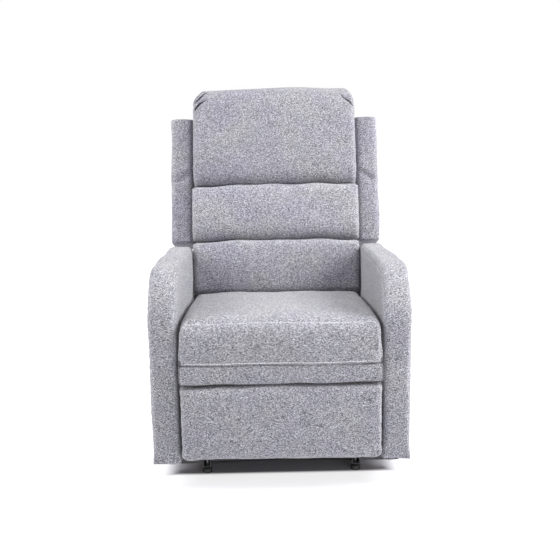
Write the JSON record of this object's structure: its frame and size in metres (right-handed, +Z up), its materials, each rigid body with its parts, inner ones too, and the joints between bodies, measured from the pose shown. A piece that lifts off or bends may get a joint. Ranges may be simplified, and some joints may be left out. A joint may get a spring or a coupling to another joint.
{
  "type": "recliner armchair",
  "caption": "Upholstered recliner armchair: pillow back with side wings, padded arms, a seat that glides forward as the back reclines and a footrest that swings out.",
  "frame": {"origin": "middle of the chair's length and width, on the floor, with the back upright and the footrest closed", "axes": "+Z up, the chair faces -Y, +X to the right of someone facing the chair's front"},
  "size_m": [0.7, 0.9, 1.0891],
  "materials": {
    "upholstery": "woven heather",
    "rear_upholstery": "woven heather",
    "foam": "open cell foam",
    "webbing": "woven strap",
    "plywood": "raw",
    "black_steel": "satin",
    "zinc_steel": "zinc plated",
    "black_plastic": "matte"
  },
  "bodies": {
    "base": {"base_rails": "black_steel", "swing_brackets": "black_steel", "front_cross_tube": "black_steel", "outriggers": "black_steel", "glide_feet": "black_plastic", "glide_studs": "zinc_steel", "arm_frame_left": "plywood", "arm_frame_right": "plywood", "arm_inner_panel_left": "upholstery", "arm_inner_panel_right": "upholstery", "arm_outer_panel_left": "upholstery", "arm_outer_panel_right": "upholstery", "arm_band_left": "upholstery", "arm_band_right": "upholstery", "rear_board": "plywood", "rear_skirt": "upholstery", "arm_spacers": "black_plastic", "arm_bolts": "zinc_steel", "swing_base_rivets": "zinc_steel", "release_bezel": "black_plastic", "release_pin": "zinc_steel", "release_cable": "black_plastic", "release_catch": "zinc_steel"},
    "release_paddle": {"release_paddle": "black_plastic"},
    "front_swing": {"front_swing_links": "black_steel"},
    "rear_swing": {"rear_swing_links": "black_steel"},
    "seat": {"seat_plates": "black_steel", "seat_side_rails": "plywood", "seat_cross_rails": "plywood", "seat_springs": "zinc_steel", "spring_clips": "black_plastic", "seat_foam": "foam", "seat_cover": "upholstery", "seat_front_panel": "upholstery", "seat_rivets": "zinc_steel", "seat_bolts": "zinc_steel", "assist_springs": "zinc_steel"},
    "front_crank": {"front_cranks": "black_steel", "torque_tube": "black_steel", "front_crank_rivets": "zinc_steel"},
    "rear_crank": {"rear_cranks": "black_steel", "rear_crank_rivets": "zinc_steel"},
    "lower_coupler": {"lower_couplers": "black_steel"},
    "upper_coupler": {"upper_couplers": "black_steel"},
    "footrest": {"footrest_brackets": "black_steel", "footrest_rivets": "zinc_steel", "footrest_board": "plywood", "footrest_foam": "foam", "footrest_cover": "upholstery", "footrest_bolts": "zinc_steel"},
    "back": {"back_brackets": "black_steel", "back_frame": "plywood", "back_webbing": "webbing", "headrest_cushion": "upholstery", "lumbar_cushion": "upholstery", "lower_back_cushion": "upholstery", "wing_left": "upholstery", "wing_right": "upholstery", "back_rear_panel": "rear_upholstery", "back_bolts": "zinc_steel"}
  },
  "joints": [
    {"name": "back_recline", "type": "hinge", "parent": "seat", "child": "back", "pos_m": [0, 0.15, 0.378], "axis": [-1, 0, 0], "range_deg": [0, 38]},
    {"name": "front_swing_base", "type": "hinge", "parent": "base", "child": "front_swing", "pos_m": [0, -0.06, 0.07], "axis": [1, 0, 0], "range_deg": [0, 20.05]},
    {"name": "seat_carry", "type": "hinge", "parent": "front_swing", "child": "seat", "pos_m": [0, -0.02003, 0.23523], "axis": [1, 0, 0], "range_deg": [-20.05, 0]},
    {"name": "rear_swing_base", "type": "hinge", "parent": "base", "child": "rear_swing", "pos_m": [0, 0.08, 0.07], "axis": [1, 0, 0], "range_deg": [0, 20.05]},
    {"name": "footrest_open", "type": "hinge", "parent": "seat", "child": "front_crank", "pos_m": [0, -0.25, 0.34], "axis": [-1, 0, 0], "range_deg": [0, 90], "deforming": ["assist_springs"]},
    {"name": "rear_crank_pivot", "type": "hinge", "parent": "seat", "child": "rear_crank", "pos_m": [0, -0.18113, 0.2993], "axis": [-1, 0, 0], "range_deg": [0, 90.1]},
    {"name": "lower_coupler_pivot", "type": "hinge", "parent": "front_crank", "child": "lower_coupler", "pos_m": [0, -0.14698, 0.08502], "axis": [-1, 0, 0], "range_deg": [-90.1, 0]},
    {"name": "upper_coupler_pivot", "type": "hinge", "parent": "front_crank", "child": "upper_coupler", "pos_m": [0, -0.16946, 0.14066], "axis": [-1, 0, 0], "range_deg": [-90.1, 0]},
    {"name": "footrest_tilt", "type": "hinge", "parent": "lower_coupler", "child": "footrest", "pos_m": [0, -0.35, 0.205], "axis": [-1, 0, 0], "range_deg": [0, 90.1]},
    {"name": "release_pull", "type": "hinge", "parent": "base", "child": "release_paddle", "pos_m": [-0.343, -0.107, 0.452], "axis": [0, 1, 0], "range_deg": [0, 22], "stiffness_Nm_per_rad": 0.25, "springref_deg": -17.19}
  ],
  "couplings": [
    {"joint": "front_swing_base", "follows": "back_recline", "ratio": 0.52632},
    {"joint": "seat_carry", "follows": "back_recline", "ratio": -0.52632},
    {"joint": "rear_swing_base", "follows": "back_recline", "ratio": 0.52632},
    {"joint": "rear_crank_pivot", "follows": "footrest_open", "ratio": 1},
    {"joint": "lower_coupler_pivot", "follows": "footrest_open", "ratio": -1},
    {"joint": "upper_coupler_pivot", "follows": "footrest_open", "ratio": -1},
    {"joint": "footrest_tilt", "follows": "footrest_open", "ratio": 1}
  ]
}
